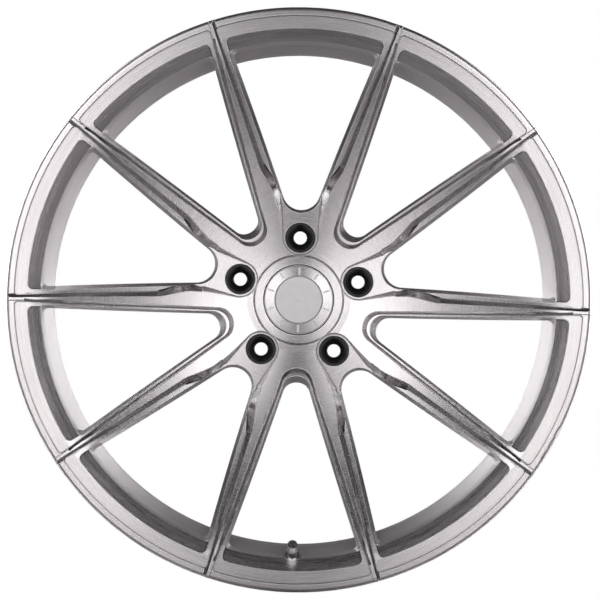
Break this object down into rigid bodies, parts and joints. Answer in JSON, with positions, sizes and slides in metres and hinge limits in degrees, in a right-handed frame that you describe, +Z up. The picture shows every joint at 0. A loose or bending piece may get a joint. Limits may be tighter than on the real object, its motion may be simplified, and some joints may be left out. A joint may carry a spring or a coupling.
{
  "type": "forged racing wheel rim",
  "caption": "One-piece forged road and track wheel with paired thin spokes, coned bolt seats, a snap-in centre cap and a clamped tyre valve.",
  "frame": {"origin": "on the wheel axis at mid width, between the two outer flange faces", "axes": "+Y along the wheel axis toward the car, so the street side looks toward -Y; +Z up through bolt hole 1; +X completes the right-handed frame, to the right when the street side is seen; the valve is straight down"},
  "size_m": [0.5474, 0.254, 0.5474],
  "materials": {
    "forging": "forged aluminium, turned and brushed in circles about the axis, clear coated",
    "seat_insert": "steel bolt seat, gloss black",
    "cap_plastic": "moulded plastic",
    "cap_metal": "satin aluminium ring with index notches",
    "cap_disc": "plain satin silver disc",
    "rubber": "black rubber",
    "spring_steel": "bright spring wire",
    "valve_chrome": "chromed brass",
    "core_brass": "plain brass"
  },
  "bodies": {
    "wheel": {"forged_wheel": "forging", "lug_seat_insert_1": "seat_insert", "lug_seat_insert_2": "seat_insert", "lug_seat_insert_3": "seat_insert", "lug_seat_insert_4": "seat_insert", "lug_seat_insert_5": "seat_insert", "valve_stem": "valve_chrome", "valve_grommet": "rubber", "valve_washer": "valve_chrome", "valve_nut": "valve_chrome", "valve_core_body": "core_brass"},
    "centre_cap": {"centre_cap_body": "cap_plastic", "cap_bezel_ring": "cap_metal", "cap_emblem_disc": "cap_disc", "cap_o_ring": "rubber", "cap_retaining_ring": "spring_steel"},
    "core_pin": {"valve_core_pin": "core_brass", "valve_core_seal": "rubber", "valve_core_spring": "spring_steel"},
    "cap_seal": {"valve_cap_seal": "rubber"},
    "dust_cap": {"valve_cap": "valve_chrome"}
  },
  "joints": [
    {"name": "centre_cap_pull", "type": "slide", "parent": "wheel", "child": "centre_cap", "axis": [0, -1, 0], "range_m": [0, 0.02], "deforming": ["cap_retaining_ring"]},
    {"name": "valve_pin_press", "type": "slide", "parent": "wheel", "child": "core_pin", "axis": [0, 0.866, -0.5], "range_m": [0, 0.0012], "stiffness_N_per_m": 800, "springref_m": -0.0015, "deforming": ["valve_core_spring"]},
    {"name": "valve_cap_lift", "type": "slide", "parent": "wheel", "child": "cap_seal", "axis": [0, -0.866, 0.5], "range_m": [0, 0.00397]},
    {"name": "valve_cap_turn", "type": "hinge", "parent": "cap_seal", "child": "dust_cap", "pos_m": [0, -0.0925, -0.2455], "axis": [0, -0.866, 0.5], "range_deg": [0, 1800]}
  ],
  "couplings": [
    {"joint": "valve_cap_turn", "follows": "valve_cap_lift", "rad_per_m": 7913.3}
  ]
}
